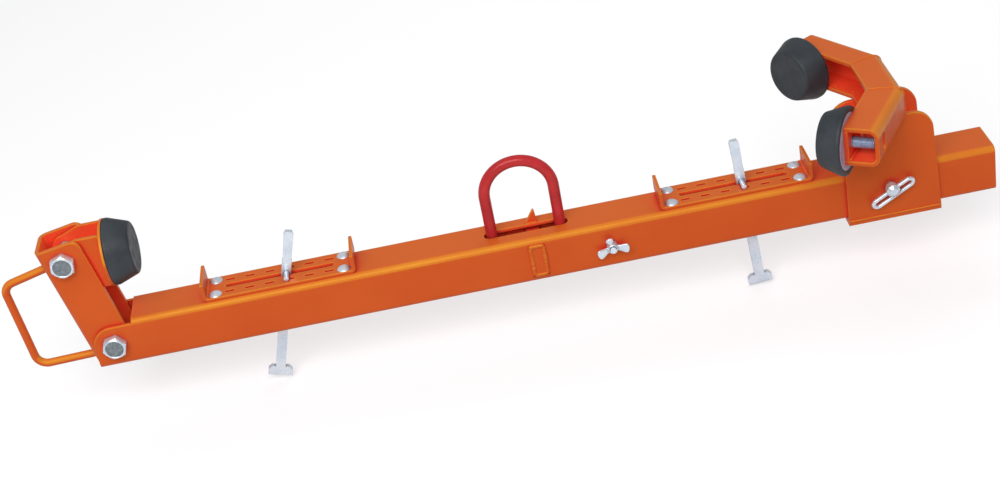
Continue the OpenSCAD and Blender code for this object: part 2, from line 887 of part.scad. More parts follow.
module cross_nut(half) {
    translate([0, half + washer_t, 0]) rotate([-90, 0, 0]) difference() {
        hex_head(big_head_af, big_nut_h);
        translate([0, 0, -past]) cylinder(h = big_nut_h + 2 * past, d = big_bore_d);
    }
}

module pivot_bolt() {
    color(zinc) hung() translate([pivot_x, 0, 0]) cross_bolt(tube_half);
}

module pivot_washer() {
    color(zinc) hung() translate([pivot_x, 0, 0]) cross_washer(tube_half);
}

module pivot_nut() {
    color(zinc) hung() translate([pivot_x, 0, 0]) cross_nut(tube_half);
}

module swivel_bolt() {
    color(zinc) hung() on_swivel() cross_bolt(arm_half);
}

module swivel_washer() {
    color(zinc) hung() on_swivel() cross_washer(arm_half);
}

module swivel_nut() {
    color(zinc) hung() on_swivel() cross_nut(arm_half);
}

// Swivel bracket

// Side plate seen from the front: an eye round the bolt, flaring to the round plate
module bracket_side_2d() {
    top = [bracket_reach - bracket_top_run, bracket_up];
    low = [bracket_reach - bracket_low_run, -bracket_down];
    circle(bracket_eye_r);
    polygon([
        [0, 0],
        touch(top, bracket_eye_r - eye_dip, 1),
        top,
        [bracket_reach, bracket_up],
        [bracket_reach, -bracket_down],
        low,
        touch(low, bracket_eye_r - eye_dip, -1)
    ]);
}

// Two side plates joined by a floor behind the round plate
module pad_bracket() {
    color(paint) hung() on_swivel() difference() {
        union() {
            for (s = [-1, 1])
                translate([0, s * (bracket_half - bracket_wall / 2), 0])
                    upright(bracket_wall) bracket_side_2d();
            upright(bracket_w)
                translate([bracket_reach - bracket_low_run, -bracket_down])
                    square([bracket_low_run, bracket_wall]);
        }
        across(0, 0, -bracket_w, bracket_w, big_bore_d);
    }
}

module round_plate() {
    color(paint) hung() on_left_pad() translate([0, 0, -round_plate_t]) difference() {
        cylinder(h = round_plate_t, d = round_plate_d);
        translate([0, 0, -past])
            cylinder(h = round_plate_t + 2 * past, d = stud_d + 2 * run_gap);
    }
}

// Rubber pads

// Half section of a pad: back at zero, pressing face at the top, disc recess at the back
module pad_half_2d() {
    slope = atan2((pad_d - pad_face_d) / 2, pad_depth - pad_rim);
    lean = 90 - slope;
    arc_x = pad_face_d / 2 - pad_edge * tan(lean / 2);
    difference() {
        union() {
            polygon([
                [0, 0],
                [pad_d / 2, 0],
                [pad_d / 2, pad_rim],
                [arc_x + pad_edge * cos(slope), pad_depth - pad_edge + pad_edge * sin(slope)],
                [arc_x, pad_depth - pad_edge],
                [arc_x, pad_depth],
                [0, pad_depth]
            ]);
            intersection() {
                translate([arc_x, pad_depth - pad_edge]) circle(pad_edge);
                square([pad_d, pad_depth]);
            }
        }
        translate([-past, -past]) square([disc_d / 2 + past, disc_t + past]);
    }
}

module pad_rubber() {
    rotate_extrude($fn = 96) pad_half_2d();
}

// Steel disc in the back of a pad, with the stud that holds the pad
module pad_disc() {
    cylinder(h = disc_t, d = disc_d);
    translate([0, 0, -stud_len]) cylinder(h = stud_len + disc_t / 2, d = stud_d);
}

module pad_disc_left() {
    color(zinc) hung() on_left_pad() pad_disc();
}

module pad_rubber_left() {
    color(rubber) hung() on_left_pad() pad_rubber();
}

module pad_disc_front() {
    color(zinc) hung() on_leg_pad(-1) pad_disc();
}

module pad_disc_rear() {
    color(zinc) hung() on_leg_pad(1) pad_disc();
}

module pad_rubber_front() {
    color(rubber) hung() on_leg_pad(-1) pad_rubber();
}

module pad_rubber_rear() {
    color(rubber) hung() on_leg_pad(1) pad_rubber();
}

// Slider

// Cheek seen from the front: round corners, and a step down to the carrier's seat
module cheek_2d() {
    r = cheek_corner;
    shoulder_x = slider_len - cheek_taper - shoulder_r;
    difference() {
        union() {
            polygon([
                [0, floor_top_z],
                [slider_len, floor_top_z],
                [slider_len - cheek_taper, cheek_rise - shoulder_r],
                [shoulder_x, cheek_rise],
                [r, cheek_rise],
                [r, carrier_seat],
                [0, carrier_seat - r]
            ]);
            translate([r, carrier_seat - r]) circle(r);
            translate([shoulder_x, cheek_rise - shoulder_r]) circle(shoulder_r);
        }
        translate([-past, carrier_seat])
            square([carrier_set + carrier_depth + past, cheek_rise]);
    }
}

module cheek(side) {
    translate([slider_x, side * (cheek_in + cheek_t / 2), 0]) upright(cheek_t) cheek_2d();
}

module slider_front_cheek() {
    color(paint) hung() difference() {
        cheek(-1);
        across(screw_x, screw_rise, -tube_side, 0, screw_d + 2 * run_gap);
    }
}

module slider_rear_cheek() {
    color(paint) hung() cheek(1);
}

// Bottom plate under the tube, joining the two cheeks
module slider_floor() {
    color(paint) hung() translate([slider_x, -cheek_out, floor_top_z - slider_floor_t])
        cube([slider_len, 2 * cheek_out, slider_floor_t]);
}

// Carrier for the two right-hand pads

module carrier_middle() {
    half = carrier_mid_len / 2;
    wide = half + carrier_depth * mitre;
    color(paint) hung() intersection() {
        translate([carrier_x, 0, carrier_z]) rotate([90, 0, 0])
            linear_extrude(2 * wide, center = true)
                channel_2d(carrier_depth, carrier_h, carrier_wall, carrier_bend);
        translate([carrier_x, 0, carrier_seat]) linear_extrude(carrier_h)
            polygon([
                [0, -half],
                [carrier_depth, -wide],
                [carrier_depth, wide],
                [0, half]
            ]);
    }
}

// Leg in its own frame, mitred where it meets the middle segment. The near leg has a sight slot.
module carrier_leg(side) {
    start = -carrier_depth * mitre;
    color(paint) hung() on_leg(side) difference() {
        intersection() {
            translate([0, leg_len, 0]) rotate([90, 0, 0])
                linear_extrude(leg_len - start)
                    channel_2d(carrier_depth, carrier_h, carrier_wall, carrier_bend);
            translate([0, 0, -carrier_h / 2]) linear_extrude(carrier_h)
                polygon([
                    [0, 0],
                    [carrier_depth, start],
                    [carrier_depth, leg_len],
                    [0, leg_len]
                ]);
        }
        if (side < 0)
            translate([carrier_depth, pad_along, 0]) rotate([0, 90, 0])
                linear_extrude(4 * carrier_wall, center = true) slot_2d(sight_h, sight_w);
    }
}

module carrier_front_leg() {
    carrier_leg(-1);
}

module carrier_rear_leg() {
    carrier_leg(1);
}

// Plate between a leg's flanges at its open side, threaded for the pad's stud
module pad_plate(side) {
    color(paint) hung() on_leg(side) difference() {
        translate([0, leg_len - pad_plate_len, -pad_plate_h / 2])
            cube([pad_plate_t, pad_plate_len, pad_plate_h]);
        translate([0, pad_along, -pad_drop]) rotate([0, 90, 0])
            cylinder(h = 4 * pad_plate_t, d = stud_d + 2 * run_gap, center = true);
    }
}

module pad_plate_front() {
    pad_plate(-1);
}

module pad_plate_rear() {
    pad_plate(1);
}

// Clamp screw: its tip presses on the tube, its head carries the loop handle
module clamp_screw() {
    head_y = -(cheek_out + screw_neck);
    color(zinc) hung() difference() {
        union() {
            across(screw_x, screw_rise, head_y, -(tube_half + seat_gap), screw_d);
            translate([screw_x, head_y, screw_rise]) rotate([90, 0, 0]) screw_head();
        }
        translate([screw_x, loop_y, screw_rise]) rotate([0, 90 - loop_slope, 0])
            cylinder(h = 2 * screw_head_d, d = loop_bar + 2 * run_gap, center = true);
    }
}

// Turned head, chamfered at both ends, axis up
module screw_head() {
    small_d = screw_head_d - 2 * screw_head_chamfer;
    cylinder(h = screw_head_chamfer, d1 = small_d, d2 = screw_head_d);
    translate([0, 0, screw_head_chamfer])
        cylinder(h = screw_head_len - 2 * screw_head_chamfer, d = screw_head_d);
    translate([0, 0, screw_head_len - screw_head_chamfer])
        cylinder(h = screw_head_chamfer, d1 = screw_head_d, d2 = small_d);
}

module clamp_loop() {
    end = loop_straight / 2;
    color(zinc) hung() translate([screw_x, loop_y, screw_rise])
        rotate([0, 90 - loop_slope, 0]) rotate([0, 0, loop_tilt])
            translate([loop_line_r, 0, -loop_slip])
                oval_bar(loop_line_r, -end, end, loop_bar, bend_swell, bend_lap);
}

beam_tube();
link_crossbar();
centre_pointer();
lifting_link();
plate_left();
plate_right();
plate_bolts();
plate_nuts();
key_left();
key_right();
key_pin_left();
key_pin_right();
wing_bolt();
wing_nut();
arm_channel();
arm_handle();
pivot_bolt();
pivot_washer();
pivot_nut();
swivel_bolt();
swivel_washer();
swivel_nut();
pad_bracket();
round_plate();
pad_disc_left();
pad_rubber_left();
slider_front_cheek();
slider_rear_cheek();
slider_floor();
carrier_middle();
carrier_front_leg();
carrier_rear_leg();
pad_plate_front();
pad_plate_rear();
pad_disc_front();
pad_disc_rear();
pad_rubber_front();
pad_rubber_rear();
clamp_screw();
clamp_loop();
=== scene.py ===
"""Looks of the frame lifting clamp: paint, plating, threads, weld beads and moulded pads."""

import json
import math
import random

import bmesh
import bpy
from mathutils import Matrix, Vector


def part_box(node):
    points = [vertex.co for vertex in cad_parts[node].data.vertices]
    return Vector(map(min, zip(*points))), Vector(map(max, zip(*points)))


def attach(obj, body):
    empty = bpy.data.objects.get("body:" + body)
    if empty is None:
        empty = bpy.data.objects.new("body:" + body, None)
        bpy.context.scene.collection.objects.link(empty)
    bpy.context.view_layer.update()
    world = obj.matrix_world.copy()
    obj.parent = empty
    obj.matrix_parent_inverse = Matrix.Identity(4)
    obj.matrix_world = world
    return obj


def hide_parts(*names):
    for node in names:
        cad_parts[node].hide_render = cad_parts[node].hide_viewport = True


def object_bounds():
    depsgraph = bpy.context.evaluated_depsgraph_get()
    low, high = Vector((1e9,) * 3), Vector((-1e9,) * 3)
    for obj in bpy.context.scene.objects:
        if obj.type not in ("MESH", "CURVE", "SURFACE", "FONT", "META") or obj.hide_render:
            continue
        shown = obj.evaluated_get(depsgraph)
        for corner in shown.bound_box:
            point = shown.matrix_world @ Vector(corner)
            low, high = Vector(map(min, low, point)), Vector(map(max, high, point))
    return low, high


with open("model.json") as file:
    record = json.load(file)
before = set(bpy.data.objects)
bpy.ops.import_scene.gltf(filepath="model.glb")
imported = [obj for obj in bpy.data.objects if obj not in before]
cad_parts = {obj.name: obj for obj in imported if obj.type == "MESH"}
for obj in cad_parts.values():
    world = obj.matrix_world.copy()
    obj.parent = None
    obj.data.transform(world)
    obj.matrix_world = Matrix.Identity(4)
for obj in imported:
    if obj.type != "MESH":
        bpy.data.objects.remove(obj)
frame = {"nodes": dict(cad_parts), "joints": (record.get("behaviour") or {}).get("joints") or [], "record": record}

CAD_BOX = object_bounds()
MM = 0.001
FULL_TURN = 2 * math.pi
RECORD = frame["record"]
JOINTS = {joint["name"]: joint for joint in frame["joints"]}
MOUNTS = {mount["name"]: mount for mount in RECORD["mounts"]}
SIDES = (("front", -1), ("rear", 1))

# Camera: level axis along X, tipped down and rolled as the beam hangs in the photograph
IMAGE_W = 1000
FOCAL_PX = 1770
CAMERA_DISTANCE = 2.15
CAMERA_TARGET = Vector((-0.0345, -0.0065, -0.0979))
CAMERA_ELEVATION = math.radians(31)
CAMERA_ROLL = math.radians(11.35)

# Sky strength as the camera sees it, as soft light and in mirrors
SKY_SEEN = 1.0
SKY_SOFT = 0.55
SKY_MIRRORED = 0.32

# Floor: its reach each way, its gap under the object, its colour and its own glow
FLOOR_REACH = 14.0
FLOOR_GAP = 2 * MM
FLOOR_COLOUR = (0.55, 0.55, 0.56, 1)
FLOOR_GLOW_SEEN = 0.46
FLOOR_GLOW_MIRRORED = 0.20

# Sizes of the source that the frame's boxes and joints don't give
ARM_LEAN = math.radians(10.2)
ARM_BACK = 32.6 * MM
HANDLE_BAR = 10 * MM
HANDLE_TOP = 115.2 * MM
HANDLE_LOW = -17.4 * MM
LEG_SWEEP = math.radians(32)
LEG_LEN = 94 * MM
CARRIER_BEND = 12 * MM
CARRIER_WALL = 5 * MM
BRACKET_WALL = 4 * MM
PAD_PLATE_LEN = 46 * MM
PAD_PLATE_T = 5 * MM

# Rubber pads, and the discs and studs in their backs
PAD_R = 40.75 * MM
PAD_FACE_R = 31.5 * MM
PAD_DEPTH = 30 * MM
PAD_EDGE = 4 * MM
PAD_RIM = 5 * MM
DISC_R = 34 * MM
DISC_T = 4 * MM
STUD_R = 7 * MM
STUD_LEN = 31 * MM
STUD_PITCH = 2 * MM

# Large hexagon bolts. Chamfer and face are shares of the width across flats, lip and dish of the face
BOLT_R = 8 * MM
BOLT_AF = 27 * MM
BOLT_PITCH = 2 * MM
BOLT_THREAD_LEN = 22 * MM
HEAD_H = 10 * MM
HEAD_CHAMFER = 0.09
HEAD_FACE = 0.46
HEAD_LIP = 0.92
HEAD_DISH = 0.87
PIVOT_HEAD_TURN = math.radians(12)
SWIVEL_HEAD_TURN = math.radians(20)

# Depth of a thread, as a share of its pitch
THREAD_DEPTH = 0.55

# Wing nut: each wing has a turn in degrees, a reach and a width
WINGS = ((-6, 22 * MM, 12 * MM), (196, 22 * MM, 12 * MM), (104, 17 * MM, 9 * MM))
WING_T = 4 * MM
WING_LIFT = 1 * MM
WING_RISE = math.radians(20)
WING_ROOT = 6.5 * MM
HUB_H = 10 * MM
HUB_SEAT = 0.1 * MM
HUB_BORE_R = 4.3 * MM

# Section at a wing's root: shares of the wing's width and thickness
WING_ROOT_SECTION = (0.60, 0.96)

# Sections along a wing: shares of its reach, width and thickness
WING_SECTIONS = (
    (0.36, 0.58, 0.96), (0.50, 0.66, 0.92), (0.64, 0.84, 0.88), (0.76, 0.98, 0.84),
    (0.86, 1.0, 0.78), (0.93, 0.88, 0.70), (0.975, 0.64, 0.58), (1.0, 0.30, 0.40),
)

# Ripples along a weld bead, and the angle in degrees up to which weld is shaded smooth
RIPPLE = 2.2 * MM
STEPS_PER_RIPPLE = 4
WELD_SMOOTH_ANGLE = 80

# Radii of the weld beads, and how far down the bracket's cheeks the inside beads reach
BEAD_CROSSBAR = 2.8 * MM
BEAD_POINTER = 1.3 * MM
BEAD_HANDLE = 1.9 * MM
BEAD_MITRE = 0.9 * MM
BEAD_CHEEK = 2.2 * MM
BEAD_FLOOR = 1.5 * MM
BEAD_BRACKET = 2.0 * MM
BEAD_BRACKET_INSIDE = 2.2 * MM
BEAD_PAD_PLATE = 2.0 * MM
BRACKET_INSIDE_REACH = 18 * MM

# Colours of the finishes, linear
ORANGE_DARK = (0.575, 0.068, 0.014)
ORANGE_LIGHT = (0.620, 0.086, 0.017)
# Painted light: upward faces get a lighter, yellower orange
ORANGE_PAINTED_TOP_LIGHT = (0.60, 0.105, 0.015)
# Painted highlight: golden band along rounds that face upward
ORANGE_PAINTED_HIGHLIGHT = (0.66, 0.205, 0.020)
# Painted shade: deep red where the surface lies in a hollow
ORANGE_HOLLOW_SHADE = (0.96, 0.075, 0.030)
# Painted shade: dark red in tight creases and between parts
ORANGE_CREASE_SHADE = (0.62, 0.008, 0.020)
# Edge colour: partly paint wear, partly a painted highlight
ORANGE_EDGE_WEAR_AND_HIGHLIGHT = (0.74, 0.29, 0.035)
ORANGE_SCUFF = (0.68, 0.20, 0.06)
RED_DARK = (0.36, 0.014, 0.017)
RED_LIGHT = (0.56, 0.030, 0.034)
RED_SCUFF = (0.34, 0.10, 0.09)
ZINC_BLUE = (0.62, 0.73, 0.86)
ZINC_PALE = (0.80, 0.87, 0.95)
ZINC_YELLOW = (0.84, 0.85, 0.82)
# Painted shade: dark in the zinc's creases
ZINC_CREASE_SHADE = (0.07, 0.09, 0.13)
STEEL_DARK = (0.27, 0.40, 0.60)
STEEL_LIGHT = (0.42, 0.55, 0.74)
# Painted shade: dark between the threads
STEEL_GROOVE_SHADE = (0.04, 0.055, 0.08)
FORGED_DARK = (0.15, 0.18, 0.20)
FORGED_LIGHT = (0.30, 0.34, 0.37)
FORGED_SHINE = (0.75, 0.80, 0.86)
RUBBER_DARK = (0.024, 0.030, 0.036)
RUBBER_LIGHT = (0.044, 0.052, 0.060)
RUBBER_DUST = (0.14, 0.15, 0.16)

# Samples of the shaders that round edges and find hollows
SHADER_SAMPLES = 6

rng = random.Random(7)


def joint_place(name):
    return Vector(JOINTS[name]["pos_m"])


# Materials

def add_node(tree, kind, links=(), values=(), **settings):
    """A shader node with its settings, its sockets' values and its incoming links."""
    node = tree.nodes.new(kind)
    for key, value in settings.items():
        setattr(node, key, value)
    for key, value in dict(values).items():
        node.inputs[key].default_value = value
    for key, source in dict(links).items():
        tree.links.new(source, node.inputs[key])
    return node


class Look:
    """A procedural material under construction."""

    def __init__(self, name, **sockets):
        self.material = bpy.data.materials.new(name)
        self.material.use_nodes = True
        self.tree = self.material.node_tree
        self.shader = self.tree.nodes["Principled BSDF"]
        for socket, value in sockets.items():
            self.shader.inputs[socket.replace("_", " ")].default_value = value
        self.place = self.add("ShaderNodeTexCoord").outputs["Object"]

    def add(self, kind, links=(), values=(), **settings):
        return add_node(self.tree, kind, links, values, **settings)

    def noise(self, scale, detail=3.0, roughness=0.5, stretch=None):
        place = self.place
        if stretch:
            place = self.add("ShaderNodeMapping", {"Vector": place}, {"Scale": stretch}).outputs[0]
        values = {"Scale": scale, "Detail": detail, "Roughness": roughness}
        return self.add("ShaderNodeTexNoise", {"Vector": place}, values).outputs["Fac"]

    def ramp(self, source, *stops):
        """A colour that follows source through stops, each a position and a colour."""
        node = self.add("ShaderNodeValToRGB", {"Fac": source})
        elements = node.color_ramp.elements
        while len(elements) < len(stops):
            elements.new(0.5)
        for element, (position, colour) in zip(elements, stops):
            element.position = position
            element.color = (*colour, 1)
        return node.outputs["Color"]

    def spread(self, source, low, high, start=0.0, stop=1.0):
        """Goes from low to high as source goes from start to stop."""
        values = {"From Min": start, "From Max": stop, "To Min": low, "To Max": high}
        return self.add("ShaderNodeMapRange", {"Value": source}, values).outputs["Result"]

    def times(self, a, b):
        return self.add("ShaderNodeMath", {0: a, 1: b}, operation="MULTIPLY").outputs[0]

    def blend(self, factor, base, colour):
        """The base, turning to colour as factor rises."""
        values = {7: (*colour, 1)}
        return self.add("ShaderNodeMix", {0: factor, 6: base}, values, data_type="RGBA").outputs[2]

    def flat_normal(self):
        return self.add("ShaderNodeNewGeometry").outputs["Normal"]

    def rounded_normal(self, radius):
        """The surface's normal with its edges rounded to radius."""
        values = {"Radius": radius}
        return self.add("ShaderNodeBevel", values=values, samples=SHADER_SAMPLES).outputs[0]

    def edges(self, rounded, start, stop):
        """One along convex and concave edges, zero on flats."""
        links = {0: rounded, 1: self.flat_normal()}
        dot = self.add("ShaderNodeVectorMath", links, operation="DOT_PRODUCT")
        return self.spread(dot.outputs["Value"], 1, 0, start, stop)

    def upward(self, normal, start, full, low=0, high=1):
        """Goes from low to high as the normal's upward part goes from start to full."""
        up = self.add("ShaderNodeSeparateXYZ", {"Vector": normal}).outputs["Z"]
        return self.spread(up, low, high, start, full)

    def hollows(self, distance, deep, open_air):
        """One where the openness within distance is down to deep, zero where it is open_air or more."""
        values = {"Distance": distance}
        node = self.add("ShaderNodeAmbientOcclusion", values=values, samples=SHADER_SAMPLES)
        return self.spread(node.outputs["AO"], 1, 0, deep, open_air)

    def bump(self, height, distance, strength, normal=None):
        links = {"Height": height}
        if normal is not None:
            links["Normal"] = normal
        values = {"Distance": distance, "Strength": strength}
        return self.add("ShaderNodeBump", links, values).outputs[0]

    def finish(self, colour, roughness, normal):
        """Links the three into the shader, and gives the material."""
        self.tree.links.new(colour, self.shader.inputs["Base Color"])
        self.tree.links.new(roughness, self.shader.inputs["Roughness"])
        self.tree.links.new(normal, self.shader.inputs["Normal"])
        return self.material


def orange_paint():
    """Powder coat: mottling, orange peel, scuffs, edge wear mixed with a painted highlight, painted light on top
    faces, a painted golden highlight on upper rounds and painted red shade in hollows and crease lines.
    """
    look = Look("orange_paint", Specular_IOR_Level=0.6, Specular_Tint=(1.0, 0.70, 0.14, 1))
    base = look.ramp(look.noise(9), (0.3, ORANGE_DARK), (0.7, ORANGE_LIGHT))
    # Painted light: faces that look straight up turn lighter and yellower
    base = look.blend(look.upward(look.flat_normal(), 0.90, 1.0), base, ORANGE_PAINTED_TOP_LIGHT)
    # Painted highlight: a golden band on rounded edges that face upward, patchy with noise
    soft_normal = look.rounded_normal(3.0 * MM)
    rises = look.upward(soft_normal, 0.04, 0.16)
    rounds = look.times(rises, look.upward(soft_normal, 0.95, 1.0, 1, 0))
    highlight_band = look.times(rounds, look.spread(look.noise(14, 2), 0.72, 1.0, 0.35, 0.65))
    base = look.blend(highlight_band, base, ORANGE_PAINTED_HIGHLIGHT)
    # Painted shade: deep red in hollows, from the occlusion node
    base = look.blend(look.hollows(0.12, 0.30, 0.66), base, ORANGE_HOLLOW_SHADE)
    # Painted shade: dark red in tight creases and between parts
    crease_shade = look.spread(look.hollows(0.009, 0.35, 0.85), 0, 0.95)
    base = look.blend(crease_shade, base, ORANGE_CREASE_SHADE)
    normal = look.rounded_normal(1.4 * MM)
    # Lighter, yellower edges: partly paint wear, partly a painted highlight
    edge = look.edges(normal, 0.78, 0.995)
    edge_wear_and_highlight = look.times(edge, look.spread(look.noise(70, 4), 0.15, 0.85, 0.3, 0.62))
    base = look.blend(edge_wear_and_highlight, base, ORANGE_EDGE_WEAR_AND_HIGHLIGHT)
    scuff = look.spread(look.noise(38, 9, 0.75, (1, 3, 3)), 0, 0.30, 0.66, 0.78)
    base = look.blend(scuff, base, ORANGE_SCUFF)
    rough = look.spread(look.noise(55, 5), 0.31, 0.45, 0.3, 0.7)
    peel = look.bump(look.noise(420, 2), 0.25 * MM, 0.3, normal)
    return look.finish(base, rough, peel)


def red_paint():
    """Paint over forged steel: deep red, satin, with a soft hammered surface."""
    look = Look("red_paint", Specular_IOR_Level=0.5, Specular_Tint=(1.0, 0.55, 0.5, 1))
    base = look.ramp(look.noise(26, 5), (0.3, RED_DARK), (0.7, RED_LIGHT))
    scuff = look.spread(look.noise(90, 8, 0.7), 0, 0.4, 0.62, 0.75)
    base = look.blend(scuff, base, RED_SCUFF)
    rough = look.spread(look.noise(80, 4), 0.20, 0.38, 0.3, 0.7)
    hammered = look.bump(look.noise(160, 5), 0.5 * MM, 0.4)
    return look.finish(base, rough, hammered)


def zinc():
    """Bright zinc plate: bluish, with a faint yellow bloom, fine scratches, rounded edges and painted shade in
    each crease.
    """
    look = Look("zinc", Metallic=0.60, Specular_IOR_Level=0.6)
    stops = ((0.3, ZINC_BLUE), (0.6, ZINC_PALE), (0.85, ZINC_YELLOW))
    base = look.ramp(look.noise(45, 3), *stops)
    # Painted shade: darker in creases and tight corners
    crease_shade = look.spread(look.hollows(0.008, 0.30, 0.80), 0, 0.85)
    base = look.blend(crease_shade, base, ZINC_CREASE_SHADE)
    rough = look.spread(look.noise(90, 4, 0.6), 0.20, 0.36, 0.3, 0.7)
    scratches = look.noise(160, 3, 0.6, (1, 1, 6))
    normal = look.bump(scratches, 0.08 * MM, 0.15, look.rounded_normal(0.6 * MM))
    return look.finish(base, rough, normal)


def plated_steel():
    """Bright steel with a blue cast, for discs and studs, with painted shade between the threads."""
    look = Look("plated_steel", Metallic=0.35, Specular_IOR_Level=0.8)
    base = look.ramp(look.noise(90, 4), (0.3, STEEL_DARK), (0.7, STEEL_LIGHT))
    # Painted shade: dark in the roots of the threads
    groove_shade = look.spread(look.hollows(0.0025, 0.30, 0.75), 0, 0.9)
    base = look.blend(groove_shade, base, STEEL_GROOVE_SHADE)
    rough = look.spread(look.noise(120, 4, 0.6), 0.14, 0.28, 0.3, 0.7)
    normal = look.bump(look.noise(220, 3, 0.6), 0.05 * MM, 0.2, look.rounded_normal(0.4 * MM))
    return look.finish(base, rough, normal)


def forged_face():
    """Zinc over an as-forged face: duller and darker, with a fine pitted grain."""
    look = Look("forged_face", Metallic=0.7, Specular_IOR_Level=0.5)
    base = look.ramp(look.noise(260, 6, 0.7), (0.35, FORGED_DARK), (0.65, FORGED_LIGHT))
    shine = look.spread(look.noise(520, 5, 0.8), 0, 0.7, 0.60, 0.72)
    base = look.blend(shine, base, FORGED_SHINE)
    rough = look.spread(look.noise(300, 4), 0.35, 0.6, 0.3, 0.7)
    normal = look.bump(look.noise(700, 4), 0.2 * MM, 0.5, look.rounded_normal(0.5 * MM))
    return look.finish(base, rough, normal)


def rubber():
    """Moulded rubber: blue-black, dusty along its edges, finely grained."""
    look = Look("rubber", Specular_IOR_Level=0.3)
    base = look.ramp(look.noise(35, 5), (0.3, RUBBER_DARK), (0.7, RUBBER_LIGHT))
    normal = look.rounded_normal(1.5 * MM)
    dust = look.times(look.edges(normal, 0.85, 0.995), look.noise(110, 4))
    base = look.blend(dust, base, RUBBER_DUST)
    rough = look.spread(look.noise(75, 5), 0.40, 0.58, 0.3, 0.7)
    grain = look.bump(look.noise(900, 3), 0.12 * MM, 0.5, normal)
    return look.finish(base, rough, grain)


LOOKS = {"orange_paint": orange_paint(), "red_paint": red_paint(), "zinc": zinc(), "rubber": rubber()}
FORGED_FACE = forged_face()
PLATED_STEEL = plated_steel()


def dress_frame():
    """Gives every CAD node the finish of its material slot."""
    for part in RECORD["subparts"]:
        piece = frame["nodes"][part["node"]]
        piece.data.materials.clear()
        piece.data.materials.append(LOOKS[part["material_slot"]])


# Mesh helpers

def axes_along(axis):
    """Rotation that takes +Z to axis."""
    return Vector(axis).normalized().to_track_quat("Z", "Y").to_matrix().to_4x4()


def angles(count):
    """Evenly spaced angles round a full turn."""
    return [FULL_TURN * i / count for i in range(count)]


def make_piece(name, mesh_maker, body, slot, replaced=(), smooth_angle=35, finish=None):
    """Adds a mesh object, filled by mesh_maker(bmesh), that rides on body and stands for replaced."""
    mesh = bpy.data.meshes.new(name)
    work = bmesh.new()
    mesh_maker(work)
    bmesh.ops.recalc_face_normals(work, faces=work.faces)
    for face in work.faces:
        face.smooth = True
    sharp = math.radians(smooth_angle)
    for edge in work.edges:
        edge.smooth = len(edge.link_faces) < 2 or edge.calc_face_angle(0) < sharp
    work.to_mesh(mesh)
    work.free()
    mesh.materials.append(finish or LOOKS[slot])
    piece = bpy.data.objects.new(name, mesh)
    bpy.context.scene.collection.objects.link(piece)
    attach(piece, body)
    if replaced:
        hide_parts(*replaced)


def skin_rings(work, rings, closed=False):
    """Joins rings of equal length with quads, and caps the two ends unless closed."""
    rows = [[work.verts.new(point) for point in ring] for ring in rings]
    count = len(rows[0])
    pairs = list(zip(rows, rows[1:])) + ([(rows[-1], rows[0])] if closed else [])
    for low, high in pairs:
        for i in range(count):
            j = (i + 1) % count
            work.faces.new((low[i], low[j], high[j], high[i]))
    if not closed:
        work.faces.new(list(reversed(rows[0])))
        work.faces.new(rows[-1])


def hexagon_radius(angle, across_flats, turn):
    """Distance from a hexagon's middle to its side at that angle."""
    sector = math.radians(60)
    return across_flats / 2 / math.cos((angle - turn) % sector - sector / 2)


def turned(place, axis, profile, segments=72, hexagon=None, turn=0.0, closed=False):
    """Maker of a turned piece. profile is (along, radius, kind) with kind round or hex."""
    def maker(work):
        frame_at = Matrix.Translation(place) @ axes_along(axis)
        rings = []
        for along, radius, kind in profile:
            ring = []
            for angle in angles(segments):
                reach = radius
                if kind == "hex":
                    reach = min(radius, hexagon_radius(angle, hexagon, turn))
                point = Vector((reach * math.cos(angle), reach * math.sin(angle), along))
                ring.append(frame_at @ point)
            rings.append(ring)
        skin_rings(work, rings, closed)
    return maker


def threaded(place, axis, start, end, radius, pitch, segments=36, steps=8):
    """Maker of a threaded rod from start to end along axis, with chamfered ends."""
    depth = THREAD_DEPTH * pitch

    def maker(work):
        frame_at = Matrix.Translation(place) @ axes_along(axis)
        count = max(2, round((end - start) / pitch * steps))
        rings = []
        for k in range(count + 1):
            along = start + (end - start) * k / count
            from_end = min(along - start, end - along)
            ring = []
            for i, angle in enumerate(angles(segments)):
                phase = (along / pitch - i / segments) % 1
                groove = depth * abs(2 * phase - 1)
                reach = min(radius - groove, radius - depth + from_end)
                point = Vector((reach * math.cos(angle), reach * math.sin(angle), along))
                ring.append(frame_at @ point)
            rings.append(ring)
        skin_rings(work, rings)
    return maker


def together(*makers):
    """Maker that runs several makers on one mesh."""
    def maker(work):
        for each in makers:
            each(work)
    return maker


# Threaded fasteners

def head_profile():
    """Hexagon head from its seat at zero, chamfered into a round face with a shallow dish."""
    corner = BOLT_AF / math.sqrt(3)
    chamfer = HEAD_CHAMFER * BOLT_AF
    face = HEAD_FACE * BOLT_AF
    return [
        (0, corner, "hex"),
        (HEAD_H - chamfer, corner, "hex"),
        (HEAD_H - 0.5 * chamfer, (corner + face) / 2, "hex"),
        (HEAD_H, face, "hex"),
        (HEAD_H, HEAD_LIP * face, "round"),
        (HEAD_H - 0.6 * MM, HEAD_DISH * face, "round"),
    ]


def dish_profile():
    """Forged floor of the head's dish, set into the head."""
    dish = HEAD_DISH * HEAD_FACE * BOLT_AF
    return [
        (HEAD_H - 1.2 * MM, dish, "round"),
        (HEAD_H - 0.5 * MM, dish, "round"),
        (HEAD_H - 0.3 * MM, dish - 0.6 * MM, "round"),
        (HEAD_H - 0.4 * MM, 0.5 * dish, "round"),
    ]


